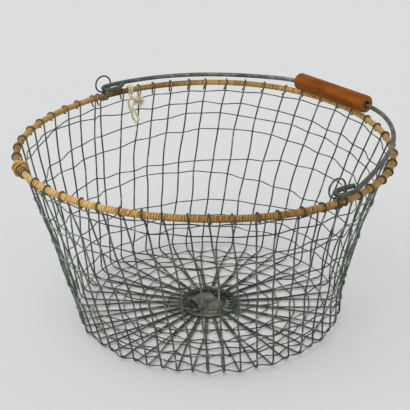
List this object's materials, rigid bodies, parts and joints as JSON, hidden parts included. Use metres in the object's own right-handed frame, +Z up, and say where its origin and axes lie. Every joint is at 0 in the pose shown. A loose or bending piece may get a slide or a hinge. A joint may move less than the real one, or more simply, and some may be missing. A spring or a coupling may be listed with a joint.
{
  "type": "wire basket",
  "caption": "Round woven wire basket with a flared wall, a cane-bound hoop at the mouth and a swinging wire bail with a turned wooden grip.",
  "frame": {"origin": "centre of the hub disc's underside, on the plane that the basket stands on", "axes": "+Z up through the mouth, -Y towards the viewer of the picture; the bail's hinge lies 52.5 degrees clockwise of +X"},
  "size_m": [0.4114, 0.4132, 0.2302],
  "materials": {
    "wire_steel": "weathered galvanised wire, dull",
    "bail_zinc": "galvanised, satin, with small rust spots",
    "hub_zinc": "dull galvanised sheet",
    "cane": "natural split cane, aged, semi-gloss",
    "grip_wood": "turned and varnished, worn",
    "twine": "loose cotton and jute twine"
  },
  "bodies": {
    "basket": {"stake_wire_01": "wire_steel", "stake_wire_02": "wire_steel", "stake_wire_03": "wire_steel", "stake_wire_04": "wire_steel", "stake_wire_05": "wire_steel", "stake_wire_06": "wire_steel", "stake_wire_07": "wire_steel", "stake_wire_08": "wire_steel", "stake_wire_09": "wire_steel", "stake_wire_10": "wire_steel", "stake_wire_11": "wire_steel", "stake_wire_12": "wire_steel", "stake_wire_13": "wire_steel", "stake_wire_14": "wire_steel", "stake_wire_15": "wire_steel", "stake_wire_16": "wire_steel", "stake_wire_17": "wire_steel", "stake_wire_18": "wire_steel", "stake_wire_19": "wire_steel", "stake_wire_20": "wire_steel", "stake_wire_21": "wire_steel", "stake_wire_22": "wire_steel", "stake_wire_23": "wire_steel", "stake_wire_24": "wire_steel", "stake_wire_25": "wire_steel", "stake_wire_26": "wire_steel", "weft_wall_01": "wire_steel", "weft_wall_02": "wire_steel", "weft_wall_03": "wire_steel", "weft_wall_04": "wire_steel", "weft_wall_05": "wire_steel", "weft_wall_06": "wire_steel", "weft_wall_07": "wire_steel", "weft_wall_08": "wire_steel", "weft_wall_09": "wire_steel", "weft_foot_01": "wire_steel", "weft_base_01": "wire_steel", "weft_base_02": "wire_steel", "weft_base_03": "wire_steel", "weft_base_04": "wire_steel", "weft_base_05": "wire_steel", "weft_base_06": "wire_steel", "hoop_core": "wire_steel", "hoop_wrap": "cane", "hoop_lashing": "cane", "ear_right": "wire_steel", "ear_left": "wire_steel", "hub_disc": "hub_zinc", "hub_top_plate": "hub_zinc", "hub_rivet": "hub_zinc", "twine_hitch": "twine", "twine_knot": "twine", "twine_loop": "twine"},
    "bail": {"bail": "bail_zinc"},
    "grip": {"grip": "grip_wood"}
  },
  "joints": [
    {"name": "bail_swing", "type": "hinge", "parent": "basket", "child": "bail", "pos_m": [-0.003, -0.0022, 0.21067], "axis": [0.6088, -0.7934, 0], "range_deg": [0, 173.5]},
    {"name": "grip_spin", "type": "hinge", "parent": "bail", "child": "grip", "pos_m": [0.14647, 0.10897, 0.22023], "axis": [0.6088, -0.7934, 0], "continuous": true}
  ]
}
